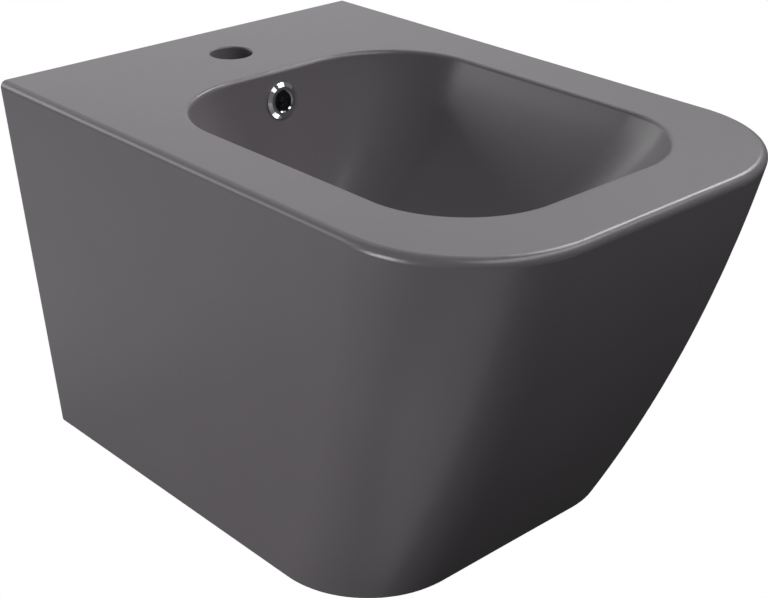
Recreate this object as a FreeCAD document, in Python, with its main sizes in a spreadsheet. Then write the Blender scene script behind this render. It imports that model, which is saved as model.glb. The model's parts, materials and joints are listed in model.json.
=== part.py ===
import FreeCAD, Part
import math
import os
import re
import Sketcher

# Wall-hung bidet. Millimetres. The origin lies midway between the two wall fixings, on the wall.
# X runs to the right seen from the front, Y runs into the wall, Z runs up.

SIZES = {
    # Outside of the ceramic body
    "width": 361,
    "projection": 519.8,
    "height": 318.5,
    "base_width": 311.5,
    "base_projection": 396,
    "front_bow": 0.41,
    "rim_corner": 104,
    "base_corner": 82.7,
    "rim_above_fixings": 75,
    "rim_edge": 5.5,
    "base_edge": 3,
    "back_edge": 1.5,
    # Walls of the ceramic body
    "skirt_wall": 12,
    "deck_wall": 14,
    "back_wall": 16,
    "bowl_wall": 10,
    # Bowl
    "side_rim": 51.8,
    "front_rim": 57.9,
    "tap_deck": 126.5,
    "bowl_depth": 125,
    "bowl_rear_corner": 81,
    "bowl_front_corner": 79.6,
    "bowl_fullness": 1.24,
    "bowl_edge": 3.5,
    "pan_half": 44,
    "pan_rear": 68,
    "pan_front": 120,
    "pan_corner": 42,
    "drain_setback": 215,
    "boss_radius": 38,
    "boss_height": 32,
    "waste_hole": 23,
    "recess_radius": 34,
    "recess_depth": 3,
    # Tap hole
    "tap_hole": 17.5,
    "tap_setback": 63.3,
    "tap_edge": 1.5,
    # Overflow
    "overflow_drop": 25.3,
    "overflow_hole": 12.5,
    "channel": 6.5,
    "channel_foot": 7.5,
    "channel_wall": 6.5,
    "channel_drop": 22,
    "trim_outer": 15,
    "trim_bore": 8.3,
    "trim_face": 2.2,
    "trim_edge": 0.6,
    "trim_bevel": 3.2,
    "trim_lip": 0.9,
    "trim_tube_wall": 1.6,
    "trim_tube": 12,
    "trim_seat_gap": 0.4,
    "clip_wall": 1.85,
    "clip_length": 10,
    "clip_setback": 1.5,
    "clip_slit": 2.5,
    "push_gap": 0.3,
    # Waste body
    "flange_radius": 31.5,
    "flange_edge": 1.2,
    "flange_rise": 2.4,
    "seat_outer": 26,
    "seat_radius": 22,
    "seat_depth": 3.4,
    "waste_bore": 18.6,
    "shoulder_drop": 30,
    "shoulder_lip": 1.4,
    "tail_radius": 20.95,
    "slot_width": 9,
    "slot_height": 9,
    "gasket_height": 2,
    "gasket_radius": 29,
    "lower_gasket_height": 5,
    "washer_height": 2,
    "washer_radius": 30,
    "back_nut_height": 9,
    "back_nut_flats": 50,
    "thread_gap": 0.12,
    "ring_gap": 0.3,
    # Click mechanism and plug
    "cartridge_height": 3.5,
    "cartridge_wall": 2.2,
    "hub_radius": 7,
    "hub_top": 12,
    "hub_bottom": 12,
    "spoke_width": 3,
    "plunger_radius": 4,
    "plunger_fit": 0.08,
    "plunger_length": 36,
    "plunger_bevel": 1,
    "stub_radius": 3,
    "stub_length": 4,
    "stub_gap": 0.2,
    "plug_lift": 8,
    "plug_closed_gap": 0.6,
    "cap_radius": 30,
    "cap_height": 3.4,
    "cap_round": 1.6,
    "cap_boss_radius": 16,
    "cap_boss_height": 6,
    "cap_shoulder": 3,
    "seal_height": 2.6,
    "seal_drop": 1,
    "seal_clearance": 0.45,
    "spring_radius": 5.7,
    "spring_wire": 0.6,
    "spring_turns": 6,
    "spring_gap": 0.1,
    # Trap
    "union_gap": 1,
    "union_grip": 10,
    "union_seal_height": 2.5,
    "collar_height": 2.5,
    "collar_radius": 20.2,
    "lip_height": 3.5,
    "nut_wall": 4.5,
    "nut_bevel": 1,
    "pipe_radius": 16,
    "pipe_wall": 1.7,
    "pipe_gap": 0.4,
    "neck_gap": 2,
    "neck_radius": 20.2,
    "neck_height": 10,
    "neck_thread": 9,
    "neck_seal_height": 4,
    "neck_seal_radius": 19.2,
    "seal_grip": 0.1,
    "head_radius": 31,
    "head_wall": 3,
    "head_top": 3.5,
    "outlet_drop": 1,
    "skirt_radius": 28.5,
    "skirt_length": 13,
    "cup_gap": 0.4,
    "cup_wall": 3.2,
    "cup_floor": 3,
    "cup_bevel": 4,
    "cup_seal_height": 2,
    "water_seal": 50,
    "flow_gap": 12,
    "outlet_length": 20,
    "outlet_thread": 16,
    "pipe_insert": 14,
    "pipe_past_wall": 40,
    "socket_depth": 42,
    "bead_width": 3,
    "bead_height": 1.2,
    # Wall fixings and plumbing opening
    "fixing_pitch": 180,
    "fixing_hole": 11,
    "bush_gap": 0.3,
    "bush_bore": 6.5,
    "bush_flange": 17,
    "bush_flange_height": 3,
    "stud_washer_radius": 14,
    "stud_washer_bore": 6.6,
    "stud_washer_height": 2.5,
    "stud_nut_flats": 19,
    "stud_nut_height": 10,
    "stud_nut_bore": 6.1,
    "access_half": 62,
    "access_drop": 40,
    "access_corner": 25,
}

OUTER_SECTIONS = 4
# Places of the bowl's sections on its wall curve, in degrees. The underside leaves the first one out, so that it
# starts inside the deck
BOWL_ANGLES = (0, 10, 20, 32, 44, 56, 68, 80, 90)
# How much of its travel the bowl's wall makes at the rim, against the depth that it drops there
RIM_LEAN = 0.3
# Steps in a turn of a spring
COIL_STEPS = 4
BEVEL_START = 0.98
BEVEL_REACH = 1.02
# How far a cutting tool runs past the face it leaves, and how close counts as the same place
OVERRUN = "2"
SAME = 0.02

doc = FreeCAD.newDocument("bidet")
sheet = doc.addObject("Spreadsheet::Sheet", "sizes")
for row, (word, number) in enumerate(SIZES.items(), start=1):
    sheet.set(f"A{row}", word)
    sheet.set(f"B{row}", str(number))
    sheet.setAlias(f"B{row}", word)
doc.recompute()

# Levels and places that several pieces share, as formulas in the words of the sheet

RIM = "rim_above_fixings"
BASE = f"({RIM} - height)"
FLOOR = f"({RIM} - bowl_depth)"
FLANGE = f"({FLOOR} - recess_depth + gasket_height)"
BOSS_END = f"({FLOOR} - boss_height)"
LOWER_GASKET_END = f"({BOSS_END} - lower_gasket_height)"
WASHER_END = f"({LOWER_GASKET_END} - washer_height)"
BACK_NUT_END = f"({WASHER_END} - back_nut_height)"
UNION_TOP = f"({BACK_NUT_END} - union_gap)"
TAIL_END = f"({UNION_TOP} - union_grip)"
COLLAR_TOP = f"({TAIL_END} - union_seal_height)"
UNION_END = f"({COLLAR_TOP} - collar_height - lip_height)"
NECK_NUT_TOP = f"({UNION_END} - neck_gap)"
NECK_TOP = f"({NECK_NUT_TOP} - lip_height - ring_gap)"
HEAD_TOP = f"({NECK_TOP} - neck_height)"
OUTLET = f"({HEAD_TOP} - neck_radius - outlet_drop)"
WEIR = f"({OUTLET} - pipe_radius + pipe_wall)"
HEAD_END = f"({OUTLET} - neck_radius - head_wall)"
CUP_TOP = f"({HEAD_END} - cup_seal_height)"
DIP_END = f"({WEIR} - water_seal)"
CUP_INSIDE = f"({DIP_END} - flow_gap)"
CHANNEL = f"({FLOOR} - channel_drop)"
CHANNEL_SETBACK = "(tap_deck - bowl_wall - channel)"
OVERFLOW = f"({RIM} - overflow_drop)"
PLUG_OPEN = f"({FLANGE} + flange_rise + plug_closed_gap + plug_lift)"
OUTLET_END = "(drain_setback - head_radius - outlet_length)"
SHOULDER = f"({FLANGE} - shoulder_drop)"
HUB_TOP = f"({SHOULDER} + hub_top)"

ALONG_Y = FreeCAD.Rotation(FreeCAD.Vector(1, 0, 0), -90)
AGAINST_Y = FreeCAD.Rotation(FreeCAD.Vector(1, 0, 0), 90)
UPRIGHT = FreeCAD.Rotation()


def sized(formula):
    """Turn a formula in the words of the sheet into an expression on the sheet."""
    return re.sub(r"[a-z_]+", lambda m: "sizes." + m.group() if m.group() in SIZES else m.group(), formula)


def value(formula):
    """Work a formula out from the sheet."""
    return float(sheet.evalExpression(sized(formula)))


def bind(item, **formulas):
    """Bind properties of a document object to formulas."""
    for name, formula in formulas.items():
        item.setExpression(name.replace("__", "."), sized(formula))


def place(item, x="0", y="0", z="0", turn=UPRIGHT, angle=None):
    """Put an object at a place given by formulas, with its turn's angle as a formula where that varies."""
    item.Placement = FreeCAD.Placement(FreeCAD.Vector(value(x), value(y), value(z)), turn)
    bind(item, Placement__Base__x=x, Placement__Base__y=y, Placement__Base__z=z)
    if angle:
        bind(item, Placement__Rotation__Angle=angle)


def new_body(label):
    body = doc.addObject("PartDesign::Body", label)
    body.Label = label
    return body


def origin_plane(body, role):
    return next(item for item in body.Origin.OriginFeatures if item.Role == role)


def new_sketch(body, name, role):
    """Add a sketch on one of the body's own origin planes."""
    sketch = body.newObject("Sketcher::SketchObject", name)
    sketch.AttachmentSupport = (origin_plane(body, role), "")
    sketch.MapMode = "FlatFace"
    return sketch


def measure(sketch, name, formula, kind, *places):
    """Add a dimension to a sketch and bind it to a formula."""
    index = sketch.addConstraint(Sketcher.Constraint(kind, *places, value(formula)))
    sketch.renameConstraint(index, name)
    bind(sketch, **{"Constraints__" + name: formula})


def line(start, end):
    return Part.LineSegment(FreeCAD.Vector(*start, 0), FreeCAD.Vector(*end, 0))


def corner_arc(x, y, radius, start, sweep=90):
    circle = Part.Circle(FreeCAD.Vector(x, y, 0), FreeCAD.Vector(0, 0, 1), radius)
    return Part.ArcOfCircle(circle, math.radians(start), math.radians(start + sweep))


def joined(*pairs):
    """Tangent joints between the ends of neighbouring edges, as (edge, end, edge, end)."""
    return [Sketcher.Constraint("Tangent", *pair) for pair in pairs]


def skirt_outline(body, name, level, width, rear, front, corner):
    """A plan outline with square rear corners and round front corners, drawn at a level."""
    half = value(width) / 2
    back = -value(rear)
    nose = -value(front)
    radius = value(corner)
    sketch = new_sketch(body, name, "XY_Plane")
    bind(sketch, AttachmentOffset__Base__z=level)
    sketch.addGeometry([
        line((-half, back), (half, back)),
        line((half, back), (half, nose + radius)),
        corner_arc(half - radius, nose + radius, radius, -90),
        line((half - radius, nose), (radius - half, nose)),
        corner_arc(radius - half, nose + radius, radius, 180),
        line((-half, nose + radius), (-half, back)),
    ], False)
    sketch.addConstraint([
        Sketcher.Constraint("Coincident", 0, 2, 1, 1),
        Sketcher.Constraint("Coincident", 5, 2, 0, 1),
        Sketcher.Constraint("Vertical", 1),
        Sketcher.Constraint("Horizontal", 3),
        Sketcher.Constraint("Vertical", 5),
        Sketcher.Constraint("Symmetric", 0, 1, 0, 2, -2),
        Sketcher.Constraint("Equal", 2, 4),
    ])
    sketch.addConstraint(joined((1, 2, 2, 2), (2, 1, 3, 1), (3, 2, 4, 2), (4, 1, 5, 1)))
    measure(sketch, "width", width, "DistanceX", 0, 1, 0, 2)
    measure(sketch, "rear", rear, "DistanceY", 0, 2, -1, 1)
    measure(sketch, "front", front, "DistanceY", 3, 1, -1, 1)
    measure(sketch, "corner", corner, "Radius", 2)
    return sketch


def bowl_outline(body, name, level, width, rear, front, rear_corner, front_corner):
    """A plan outline with four round corners, drawn at a level."""
    half = value(width) / 2
    back = -value(rear)
    nose = -value(front)
    tail_radius = value(rear_corner)
    nose_radius = value(front_corner)
    sketch = new_sketch(body, name, "XY_Plane")
    bind(sketch, AttachmentOffset__Base__z=level)
    sketch.addGeometry([
        line((tail_radius - half, back), (half - tail_radius, back)),
        corner_arc(half - tail_radius, back - tail_radius, tail_radius, 0),
        line((half, back - tail_radius), (half, nose + nose_radius)),
        corner_arc(half - nose_radius, nose + nose_radius, nose_radius, -90),
        line((half - nose_radius, nose), (nose_radius - half, nose)),
        corner_arc(nose_radius - half, nose + nose_radius, nose_radius, 180),
        line((-half, nose + nose_radius), (-half, back - tail_radius)),
        corner_arc(tail_radius - half, back - tail_radius, tail_radius, 90),
    ], False)
    sketch.addConstraint([
        Sketcher.Constraint("Vertical", 2),
        Sketcher.Constraint("Horizontal", 4),
        Sketcher.Constraint("Vertical", 6),
        Sketcher.Constraint("Symmetric", 0, 1, 0, 2, -2),
        Sketcher.Constraint("Equal", 1, 7),
        Sketcher.Constraint("Equal", 3, 5),
    ])
    sketch.addConstraint(joined((0, 2, 1, 2), (1, 1, 2, 1), (2, 2, 3, 2), (3, 1, 4, 1),
                                (4, 2, 5, 2), (5, 1, 6, 1), (6, 2, 7, 2), (7, 1, 0, 1)))
    measure(sketch, "width", width, "DistanceX", 6, 1, 2, 1)
    measure(sketch, "rear", rear, "DistanceY", 0, 2, -1, 1)
    measure(sketch, "front", front, "DistanceY", 4, 1, -1, 1)
    measure(sketch, "rear_corner", rear_corner, "Radius", 1)
    measure(sketch, "front_corner", front_corner, "Radius", 3)
    return sketch


def loft(body, name, kind, sketches):
    feature = body.newObject(f"PartDesign::{kind}Loft", name)
    feature.Profile = sketches[0]
    feature.Sections = sketches[1:]
    return feature


def cylinder(body, name, kind, radius, length, **where):
    """Add or cut a cylinder that starts at a place."""
    feature = body.newObject(f"PartDesign::{kind}Cylinder", name)
    bind(feature, Radius=radius, Height=length)
    place(feature, **where)
    return feature


def box(body, name, kind, size, x, y, z):
    """Add or cut a box that starts at a corner."""
    feature = body.newObject(f"PartDesign::{kind}Box", name)
    bind(feature, Length=size[0], Width=size[1], Height=size[2])
    place(feature, x, y, z)
    return feature


def round_edges(body, name, radius, wanted):
    """Round the edges of the body's tip that a test picks."""
    doc.recompute()
    base = body.Tip
    names = [f"Edge{i}" for i, edge in enumerate(base.Shape.Edges, start=1) if wanted(edge)]
    if not names:
        raise RuntimeError(f"no edge found for {name}")
    feature = body.newObject("PartDesign::Fillet", name)
    feature.Base = (base, names)
    bind(feature, Radius=radius)
    doc.recompute()


def middle(edge):
    return edge.valueAt((edge.FirstParameter + edge.LastParameter) / 2)


def near(number, formula):
    return abs(number - value(formula)) < SAME


def level_circle(edge, radius, level):
    """Whether an edge is a circle of a radius that lies flat at a level."""
    return (isinstance(edge.Curve, Part.Circle) and near(edge.Curve.Radius, radius)
            and edge.BoundBox.ZLength < SAME and near(middle(edge).z, level))


def turned(label, profile):
    """A body turned about Z from a closed profile of (radius, height) formulas."""
    body = new_body(label)
    sketch = new_sketch(body, label + "_profile", "XZ_Plane")
    points = [(value(r), value(h)) for r, h in profile]
    count = len(points)
    sketch.addGeometry([line(points[i], points[(i + 1) % count]) for i in range(count)], False)
    for i, (radius, height) in enumerate(profile):
        sketch.addConstraint(Sketcher.Constraint("Coincident", i, 2, (i + 1) % count, 1))
        measure(sketch, f"radius_{i}", radius, "DistanceX", -1, 1, i, 1)
        measure(sketch, f"height_{i}", height, "DistanceY", -1, 1, i, 1)
    feature = body.newObject("PartDesign::Revolution", label + "_turned")
    feature.Profile = sketch
    feature.ReferenceAxis = (sketch, ["V_Axis"])
    feature.Angle = 360
    return body


def ring(label, inner, outer, height):
    """A plain ring standing on its own zero level."""
    return turned(label, [(inner, "0"), (outer, "0"), (outer, height), (inner, height)])


def hex_nut(label, flats, height, bore):
    """A six-sided nut with bevelled corners, standing on its own zero level."""
    body = new_body(label)
    sketch = new_sketch(body, label + "_hexagon", "XY_Plane")
    corner = value(flats) / math.sqrt(3)
    angles = [math.radians(60 * i) for i in range(6)]
    tips = [(corner * math.cos(angle), corner * math.sin(angle)) for angle in angles]
    sketch.addGeometry([line(tips[i], tips[(i + 1) % 6]) for i in range(6)], False)
    sketch.addConstraint([Sketcher.Constraint("Coincident", i, 2, (i + 1) % 6, 1) for i in range(6)])
    for i in range(6):
        measure(sketch, f"x_{i}", f"{flats} / sqrt(3) * cos({60 * i} deg)", "DistanceX", -1, 1, i, 1)
        measure(sketch, f"y_{i}", f"{flats} / sqrt(3) * sin({60 * i} deg)", "DistanceY", -1, 1, i, 1)
    pad = body.newObject("PartDesign::Pad", label + "_pad")
    pad.Profile = sketch
    bind(pad, Length=height)
    bevel = new_sketch(body, label + "_bevel_profile", "XZ_Plane")
    touch = f"{flats} / 2 * {BEVEL_START}"
    out = f"{flats} / sqrt(3) * {BEVEL_REACH}"
    fall = f"({out} - {touch}) * tan(30 deg)"
    upper = [(touch, height), (out, f"{height} - {fall}"), (out, height)]
    lower = [(touch, "0"), (out, "0"), (out, fall)]
    for loop in (upper, lower):
        start = len(bevel.Geometry)
        points = [(value(r), value(h)) for r, h in loop]
        bevel.addGeometry([line(points[i], points[(i + 1) % 3]) for i in range(3)], False)
        for i, (radius, level) in enumerate(loop):
            bevel.addConstraint(Sketcher.Constraint("Coincident", start + i, 2, start + (i + 1) % 3, 1))
            measure(bevel, f"radius_{start + i}", radius, "DistanceX", -1, 1, start + i, 1)
            measure(bevel, f"height_{start + i}", level, "DistanceY", -1, 1, start + i, 1)
    groove = body.newObject("PartDesign::Groove", label + "_bevel")
    groove.Profile = bevel
    groove.ReferenceAxis = (bevel, ["V_Axis"])
    groove.Angle = 360
    cylinder(body, label + "_bore", "Subtractive", bore, height)
    return body


def at_drain(item, level):
    """Put a piece on the drain's axis at a level."""
    place(item, y="-drain_setback", z=level)


def pair(label, left):
    """A group of two separate solids: one piece and its mirror image across the centre plane."""
    left.Label = label + "_left"
    right = doc.addObject("Part::Mirroring", label + "_right")
    right.Source = left
    right.Base = FreeCAD.Vector(0, 0, 0)
    right.Normal = FreeCAD.Vector(1, 0, 0)
    group = doc.addObject("Part::Compound", label)
    group.Label = label
    group.Links = [left, right]
    return group


def skirt_sections(body, name, inset, rear, top, bottom):
    """Plan outlines of the tapering, bow-fronted skirt between two shares of its height."""
    sketches = []
    for k in range(OUTER_SECTIONS):
        share = f"({top} + ({bottom} - {top}) * {k} / {OUTER_SECTIONS - 1})"
        taper = f"((1 - front_bow) * {share} + front_bow * {share} ^ 2)"
        sketches.append(skirt_outline(
            body, f"{name}_{k}",
            level=f"{RIM} - height * {share}",
            width=f"width - (width - base_width) * {share} - 2 * {inset}",
            rear=rear,
            front=f"projection - (projection - base_projection) * {taper} - {inset}",
            corner=f"rim_corner - (rim_corner - base_corner) * {share} - {inset}"))
    return sketches


def bowl_sections(body, name, wall, angles):
    """Plan outlines of the bowl from the rim down to the pan round the drain."""
    def outline(k, level, share):
        def between(rim, pan):
            return f"({rim}) * (1 - {share}) + ({pan}) * {share}"
        return bowl_outline(
            body, f"{name}_{k}", level,
            width=between(f"width - 2 * side_rim + 2 * {wall}", f"2 * pan_half + 2 * {wall}"),
            rear=between(f"tap_deck - {wall}", f"drain_setback - pan_rear - {wall}"),
            front=between(f"projection - front_rim + {wall}", f"drain_setback + pan_front + {wall}"),
            rear_corner=between(f"bowl_rear_corner + {wall}", f"pan_corner + {wall}"),
            front_corner=between(f"bowl_front_corner + {wall}", f"pan_corner + {wall}"))
    sketches = []
    if angles[0] == 0:
        sketches.append(outline("top", f"{RIM} + {OVERRUN}", f"(-{RIM_LEAN} * {OVERRUN} / bowl_depth)"))
    for k, angle in enumerate(angles):
        depth = f"sin({angle} deg) ^ (2 / bowl_fullness)"
        share = f"(1 - cos({angle} deg) ^ (2 / bowl_fullness))"
        sketches.append(outline(k, f"{RIM} - (bowl_depth + {wall}) * {depth}", share))
    return sketches


def bowl_rear_at(drop):
    """How far the bowl's rear wall stands off the wall plane at a drop below the rim."""
    share = f"(1 - (1 - (({drop}) / bowl_depth) ^ bowl_fullness) ^ (1 / bowl_fullness))"
    return f"(tap_deck + (drain_setback - pan_rear - tap_deck) * {share})"


REAR_HIGH = bowl_rear_at("overflow_drop - trim_outer")
REAR_LOW = bowl_rear_at("overflow_drop + trim_outer")
# The overflow's fittings lean back with the wall that they sit on
OVERFLOW_ANGLE = f"90 deg - atan(({REAR_LOW} - {REAR_HIGH}) / (2 * trim_outer))"
OVERFLOW_SETBACK = f"(({REAR_LOW} + {REAR_HIGH}) / 2)"


def make_ceramic_body():
    """The fired ceramic: skirt, rim, tap deck, bowl, overflow duct and back panel in one piece."""
    body = new_body("ceramic_body")
    outer = loft(body, "outer_form", "Additive", skirt_sections(body, "outer", "0", f"-{OVERRUN}", "0", "1"))
    below = f"(1 + {OVERRUN} / height)"
    loft(body, "hollow", "Subtractive", skirt_sections(
        body, "hollow_outline", "skirt_wall", "back_wall", "(deck_wall / height)", below))
    loft(body, "bowl_shell", "Additive", bowl_sections(body, "shell", "bowl_wall", BOWL_ANGLES[1:]))
    cylinder(body, "waste_boss", "Additive", "boss_radius", "boss_height - bowl_wall / 2",
             y="-drain_setback", z=BOSS_END)
    duct = "(channel + channel_wall)"
    foot = "(channel_foot + channel_wall)"
    cylinder(body, "duct_down", "Additive", duct, f"{OVERFLOW} + overflow_hole + channel_wall - {CHANNEL}",
             y=f"-{CHANNEL_SETBACK}", z=CHANNEL)
    cylinder(body, "duct_forward", "Additive", foot,
             f"drain_setback - (boss_radius + waste_hole) / 2 - {CHANNEL_SETBACK} + {foot}",
             y=f"-{CHANNEL_SETBACK} + {foot}", z=CHANNEL, turn=AGAINST_Y)
    loft(body, "bowl", "Subtractive", bowl_sections(body, "inside", "0", BOWL_ANGLES))
    box(body, "wall_plane", "Subtractive", ("2 * width", f"2 * {OVERRUN}", "2 * height"),
        "-width", "0", f"{BASE} - height / 2")
    doc.recompute()
    sides = [face for face in outer.Shape.Faces if face.BoundBox.ZLength > 1]

    def on_outside(edge):
        spot = Part.Vertex(middle(edge))
        return min(side.distToShape(spot)[0] for side in sides) < SAME

    def lies_at(edge, level):
        return near(middle(edge).z, level) and edge.BoundBox.ZLength < SAME and middle(edge).y < -SAME

    def on_back_outline(edge):
        spot = middle(edge)
        return edge.BoundBox.YLength < SAME and abs(spot.y) < SAME and spot.z > value(BASE) + SAME

    round_edges(body, "bowl_rounding", "bowl_edge", lambda edge: lies_at(edge, RIM) and not on_outside(edge))
    round_edges(body, "rim_rounding", "rim_edge", lambda edge: lies_at(edge, RIM) and on_outside(edge))
    round_edges(body, "base_rounding", "base_edge", lambda edge: lies_at(edge, BASE) and on_outside(edge))
    round_edges(body, "back_rounding", "back_edge", on_back_outline)
    box(body, "pipe_opening", "Subtractive",
        ("2 * access_half", f"back_wall + 2 * {OVERRUN}", f"-access_drop - {BASE} + {OVERRUN}"),
        "-access_half", f"-back_wall - {OVERRUN}", f"{BASE} - {OVERRUN}")
    round_edges(body, "pipe_opening_rounding", "access_corner",
                lambda edge: near(abs(middle(edge).x), "access_half") and near(middle(edge).z, "-access_drop")
                and edge.BoundBox.YLength > SAME)
    cylinder(body, "tap_bore", "Subtractive", "tap_hole", f"deck_wall + 2 * {OVERRUN}", y="-tap_setback",
             z=f"{RIM} - deck_wall - {OVERRUN}")
    round_edges(body, "tap_rounding", "tap_edge", lambda edge: level_circle(edge, "tap_hole", RIM))
    cylinder(body, "waste_way", "Subtractive", "waste_hole", f"boss_height + 2 * {OVERRUN}",
             y="-drain_setback", z=f"{BOSS_END} - {OVERRUN}")
    cylinder(body, "flange_recess", "Subtractive", "recess_radius", f"recess_depth + {OVERRUN}",
             y="-drain_setback", z=f"{FLOOR} - recess_depth")
    bore_reach = f"({OVERFLOW_SETBACK} - {CHANNEL_SETBACK})"
    cylinder(body, "overflow_bore", "Subtractive", "overflow_hole", f"{bore_reach} + 2 * {OVERRUN}",
             y=f"-{CHANNEL_SETBACK}", z=f"{OVERFLOW} - {bore_reach} / tan({OVERFLOW_ANGLE})", turn=AGAINST_Y,
             angle=OVERFLOW_ANGLE)
    cylinder(body, "channel_down", "Subtractive", "channel", f"{OVERFLOW} - {CHANNEL}",
             y=f"-{CHANNEL_SETBACK}", z=CHANNEL)
    cylinder(body, "channel_forward", "Subtractive", "channel_foot",
             f"drain_setback - {CHANNEL_SETBACK} + channel_foot",
             y=f"-{CHANNEL_SETBACK} + channel_foot", z=CHANNEL, turn=AGAINST_Y)
    for side, sign in (("left", "-"), ("right", "")):
        cylinder(body, f"fixing_hole_{side}", "Subtractive", "fixing_hole", f"back_wall + 2 * {OVERRUN}",
                 x=f"{sign}fixing_pitch / 2", y=f"-back_wall - {OVERRUN}", turn=ALONG_Y)
    return body


def make_overflow():
    """The chrome trim ring and the plastic sleeve that grips it in the ceramic."""
    tube = "(trim_bore + trim_tube_wall)"
    trim = turned("overflow_trim_ring", [
        ("trim_bore", "-trim_tube"), (tube, "-trim_tube"), (tube, "0"), ("trim_outer", "0"),
        ("trim_outer", "trim_edge"), ("trim_outer - trim_bevel", "trim_face"),
        ("trim_bore + trim_lip", "trim_face"), ("trim_bore", "trim_face - trim_lip")])
    inner = f"({tube} + push_gap)"
    clip = ring("overflow_clip_sleeve", inner, f"{inner} + clip_wall", "clip_length")
    box(clip, "clip_slits", "Subtractive", ("clip_slit", "4 * trim_outer", f"clip_length / 2 + {OVERRUN}"),
        "-clip_slit / 2", "-2 * trim_outer", f"-{OVERRUN}")
    for piece, behind in ((trim, "-trim_seat_gap"), (clip, "(clip_length + clip_setback)")):
        place(piece, y=f"-{OVERFLOW_SETBACK} + {behind} * sin({OVERFLOW_ANGLE})",
              z=f"{OVERFLOW} - {behind} * cos({OVERFLOW_ANGLE})", turn=AGAINST_Y, angle=OVERFLOW_ANGLE)
    return [trim, clip]


def make_waste():
    """The flanged waste body with its gaskets, washer and back nut."""
    reach = f"({FLANGE} - {TAIL_END})"
    waste = turned("waste_body", [
        ("tail_radius", f"-{reach}"), ("tail_radius", "0"), ("flange_radius", "0"),
        ("flange_radius", "flange_edge"), ("seat_outer", "flange_rise"), ("seat_radius", "flange_rise"),
        ("waste_bore", "flange_rise - seat_depth"),
        ("waste_bore", "-shoulder_drop"), ("waste_bore - shoulder_lip", "-shoulder_drop"),
        ("waste_bore - shoulder_lip", f"-{reach}")])
    slot_level = f"{CHANNEL} - {FLANGE} - slot_height / 2"
    box(waste, "slots_along", "Subtractive", ("slot_width", "4 * tail_radius", "slot_height"),
        "-slot_width / 2", "-2 * tail_radius", slot_level)
    box(waste, "slots_across", "Subtractive", ("4 * tail_radius", "slot_width", "slot_height"),
        "-2 * tail_radius", "-slot_width / 2", slot_level)
    at_drain(waste, FLANGE)
    gasket = ring("waste_flange_gasket", "tail_radius + ring_gap", "gasket_radius", "gasket_height")
    at_drain(gasket, f"{FLANGE} - gasket_height")
    lower = ring("waste_lower_gasket", "tail_radius + ring_gap", "washer_radius", "lower_gasket_height")
    at_drain(lower, LOWER_GASKET_END)
    washer = ring("waste_washer", "tail_radius + ring_gap", "washer_radius", "washer_height")
    at_drain(washer, WASHER_END)
    nut = hex_nut("waste_back_nut", "back_nut_flats", "back_nut_height", "tail_radius + thread_gap")
    at_drain(nut, BACK_NUT_END)
    return [waste, gasket, lower, washer, nut]


def coil_station(radius, rise, angle):
    """A point of a coil that rises about Z, and the wire's direction there."""
    point = FreeCAD.Vector(radius * math.cos(angle), radius * math.sin(angle), rise * angle)
    return point, FreeCAD.Vector(-point.y, point.x, rise).normalize()


def arc_from(start, way, end):
    """The arc that leaves a point in a direction and ends at another point."""
    chord = end - start
    along = FreeCAD.Vector(chord).normalize()
    side = (way - along * way.dot(along)).normalize()
    crown = chord.Length / 2 * math.tan(way.getAngle(chord) / 2)
    return Part.Arc(start, (start + end) * 0.5 + side * crown, end).toShape()


def arc_pair(first, second):
    """Two arcs that run smoothly from one (point, direction) to another."""
    (start, out), (end, into) = first, second
    span = end - start
    turn = 2 * (1 - out.dot(into))
    lean = span.dot(out + into)
    reach = (math.sqrt(lean ** 2 + turn * span.dot(span)) - lean) / turn
    leave = start + out * reach
    arrive = end - into * reach
    meet = (leave + arrive) * 0.5
    return [arc_from(start, out, meet), arc_from(meet, (arrive - leave).normalize(), end)]


def coil_spring(label, radius, height, turns, wire):
    """An open coil of round wire that rises from its own zero level."""
    steps = round(value(turns) * COIL_STEPS)
    sweep = 2 * math.pi * value(turns)
    stations = [coil_station(value(radius), value(height) / sweep, sweep * i / steps) for i in range(steps + 1)]
    path = Part.Wire([arc for i in range(steps) for arc in arc_pair(stations[i], stations[i + 1])])
    section = Part.Wire(Part.Circle(*stations[0], value(wire)).toShape())
    spring = doc.addObject("Part::Feature", label)
    spring.Shape = path.makePipeShell([section], True, False)
    points = [point for point, way in stations]
    apart = min((q - p).Length for i, p in enumerate(points) for q in points[i + COIL_STEPS // 2:])
    print(f"{label}: least gap between turns {apart - 2 * value(wire):.2f} mm")
    return spring


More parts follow.
